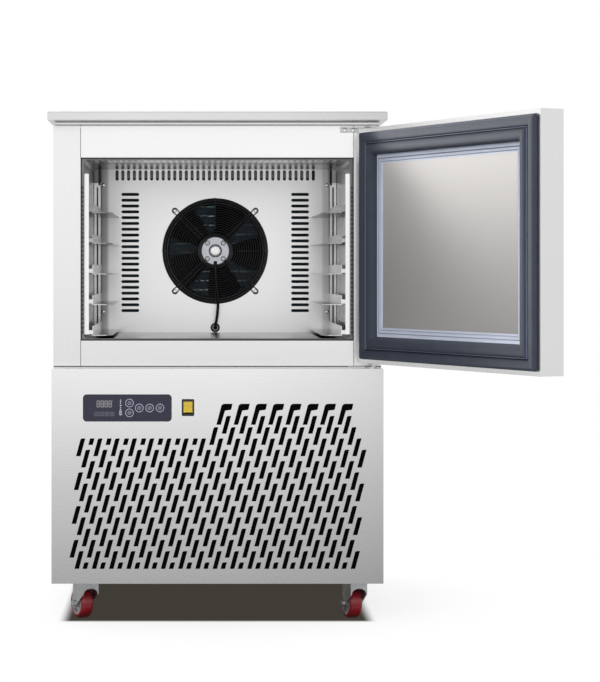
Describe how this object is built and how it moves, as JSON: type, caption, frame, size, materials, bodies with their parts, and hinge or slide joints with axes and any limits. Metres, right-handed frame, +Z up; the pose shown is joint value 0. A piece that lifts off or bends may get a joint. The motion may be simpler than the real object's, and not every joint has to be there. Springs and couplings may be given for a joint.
{
  "type": "blast chiller",
  "caption": "Undercounter-height blast chiller: insulated tray chamber with side-hinged door and circulation fan over a slotted machine compartment on swivel casters.",
  "frame": {"origin": "on the floor under the middle of the cabinet's footprint, without the open door", "axes": "+Z up, the front faces -Y, +X to the right as seen from the front, where the door is hinged"},
  "size_m": [1.1374, 1.5124, 1.233],
  "materials": {
    "steel": "brushed",
    "worktop_steel": "brushed",
    "galvanised": "satin",
    "board": "matte",
    "foam": "matte",
    "dark_plastic": "satin",
    "coil": "satin",
    "black_wire": "gloss",
    "motor": "satin",
    "black_rubber": "satin",
    "control_face": "gloss",
    "black_paint": "gloss",
    "copper": "satin",
    "grey_plastic": "satin",
    "black_plastic": "satin",
    "pale_plastic": "satin",
    "gasket": "matte",
    "amber": "gloss",
    "red_tyre": "satin"
  },
  "bodies": {
    "cabinet": {"base_pan": "galvanised", "caster_plates": "galvanised", "side_left": "steel", "side_right": "steel", "rear_panel": "steel", "lower_panel": "steel", "deck": "steel", "front_rails": "steel", "worktop": "worktop_steel", "worktop_core": "board", "insulation": "foam", "opening_trim": "dark_plastic", "liner": "steel", "air_panel": "steel", "evaporator": "coil", "drip_tray": "steel", "fan_guard": "black_wire", "fan_motor": "motor", "fan_cable": "black_rubber", "cable_grommet": "black_rubber", "posts_left": "steel", "posts_right": "steel", "ledges_left": "steel", "ledges_right": "steel", "screws": "galvanised", "control_panel": "control_face", "switch_frame": "dark_plastic", "hinge_top": "galvanised", "hinge_bottom": "galvanised", "compressor": "black_paint", "condenser": "coil", "condenser_fan_frame": "galvanised", "receiver": "black_paint", "pipework": "copper", "electrical_box": "grey_plastic"},
    "fan_rotor": {"fan_rotor": "black_plastic"},
    "condenser_rotor": {"condenser_rotor": "black_plastic"},
    "door": {"door_shell": "steel", "door_core": "foam", "door_bezel": "pale_plastic", "door_panel": "steel", "door_gasket": "gasket"},
    "key_1": {"key_1": "control_face"},
    "key_2": {"key_2": "control_face"},
    "key_3": {"key_3": "control_face"},
    "key_4": {"key_4": "control_face"},
    "key_5": {"key_5": "control_face"},
    "rocker": {"rocker": "amber"},
    "fork_1": {"fork_1": "galvanised"},
    "wheel_1": {"hub_1": "grey_plastic", "tyre_1": "red_tyre"},
    "fork_2": {"fork_2": "galvanised"},
    "wheel_2": {"hub_2": "grey_plastic", "tyre_2": "red_tyre"},
    "fork_3": {"fork_3": "galvanised"},
    "wheel_3": {"hub_3": "grey_plastic", "tyre_3": "red_tyre"},
    "fork_4": {"fork_4": "galvanised"},
    "wheel_4": {"hub_4": "grey_plastic", "tyre_4": "red_tyre"}
  },
  "joints": [
    {"name": "door_hinge", "type": "hinge", "parent": "cabinet", "child": "door", "pos_m": [0.378, -0.3785, 0.913], "axis": [0, 0, 1], "range_deg": [-114.7, 10.3]},
    {"name": "fan_spin", "type": "hinge", "parent": "cabinet", "child": "fan_rotor", "pos_m": [0, 0.211, 0.902], "axis": [0, 1, 0], "continuous": true},
    {"name": "condenser_fan_spin", "type": "hinge", "parent": "cabinet", "child": "condenser_rotor", "pos_m": [0.13, -0.2685, 0.3], "axis": [0, 1, 0], "continuous": true},
    {"name": "key_1_press", "type": "slide", "parent": "cabinet", "child": "key_1", "axis": [0, 1, 0], "range_m": [0, 0.0008], "stiffness_N_per_m": 600, "springref_m": -0.0005},
    {"name": "key_2_press", "type": "slide", "parent": "cabinet", "child": "key_2", "axis": [0, 1, 0], "range_m": [0, 0.0008], "stiffness_N_per_m": 600, "springref_m": -0.0005},
    {"name": "key_3_press", "type": "slide", "parent": "cabinet", "child": "key_3", "axis": [0, 1, 0], "range_m": [0, 0.0008], "stiffness_N_per_m": 600, "springref_m": -0.0005},
    {"name": "key_4_press", "type": "slide", "parent": "cabinet", "child": "key_4", "axis": [0, 1, 0], "range_m": [0, 0.0008], "stiffness_N_per_m": 600, "springref_m": -0.0005},
    {"name": "key_5_press", "type": "slide", "parent": "cabinet", "child": "key_5", "axis": [0, 1, 0], "range_m": [0, 0.0008], "stiffness_N_per_m": 600, "springref_m": -0.0005},
    {"name": "rocker_tilt", "type": "hinge", "parent": "cabinet", "child": "rocker", "pos_m": [-0.0711, -0.4015, 0.5196], "axis": [1, 0, 0], "range_deg": [0, 20]},
    {"name": "swivel_1", "type": "hinge", "parent": "cabinet", "child": "fork_1", "pos_m": [-0.32, -0.34, 0.088], "axis": [0, 0, 1], "continuous": true},
    {"name": "wheel_1_roll", "type": "hinge", "parent": "fork_1", "child": "wheel_1", "pos_m": [-0.3308, -0.31969, 0.0375], "axis": [0.8829, 0.4695, 0], "continuous": true},
    {"name": "swivel_2", "type": "hinge", "parent": "cabinet", "child": "fork_2", "pos_m": [0.336, -0.34, 0.088], "axis": [0, 0, 1], "continuous": true},
    {"name": "wheel_2_roll", "type": "hinge", "parent": "fork_2", "child": "wheel_2", "pos_m": [0.32889, -0.31813, 0.0375], "axis": [0.9511, 0.309, 0], "continuous": true},
    {"name": "swivel_3", "type": "hinge", "parent": "cabinet", "child": "fork_3", "pos_m": [-0.32, 0.33, 0.088], "axis": [0, 0, 1], "continuous": true},
    {"name": "wheel_3_roll", "type": "hinge", "parent": "fork_3", "child": "wheel_3", "pos_m": [-0.31213, 0.35161, 0.0375], "axis": [0.9397, -0.342, 0], "continuous": true},
    {"name": "swivel_4", "type": "hinge", "parent": "cabinet", "child": "fork_4", "pos_m": [0.336, 0.33, 0.088], "axis": [0, 0, 1], "continuous": true},
    {"name": "wheel_4_roll", "type": "hinge", "parent": "fork_4", "child": "wheel_4", "pos_m": [0.32628, 0.35085, 0.0375], "axis": [0.9063, 0.4226, 0], "continuous": true}
  ]
}
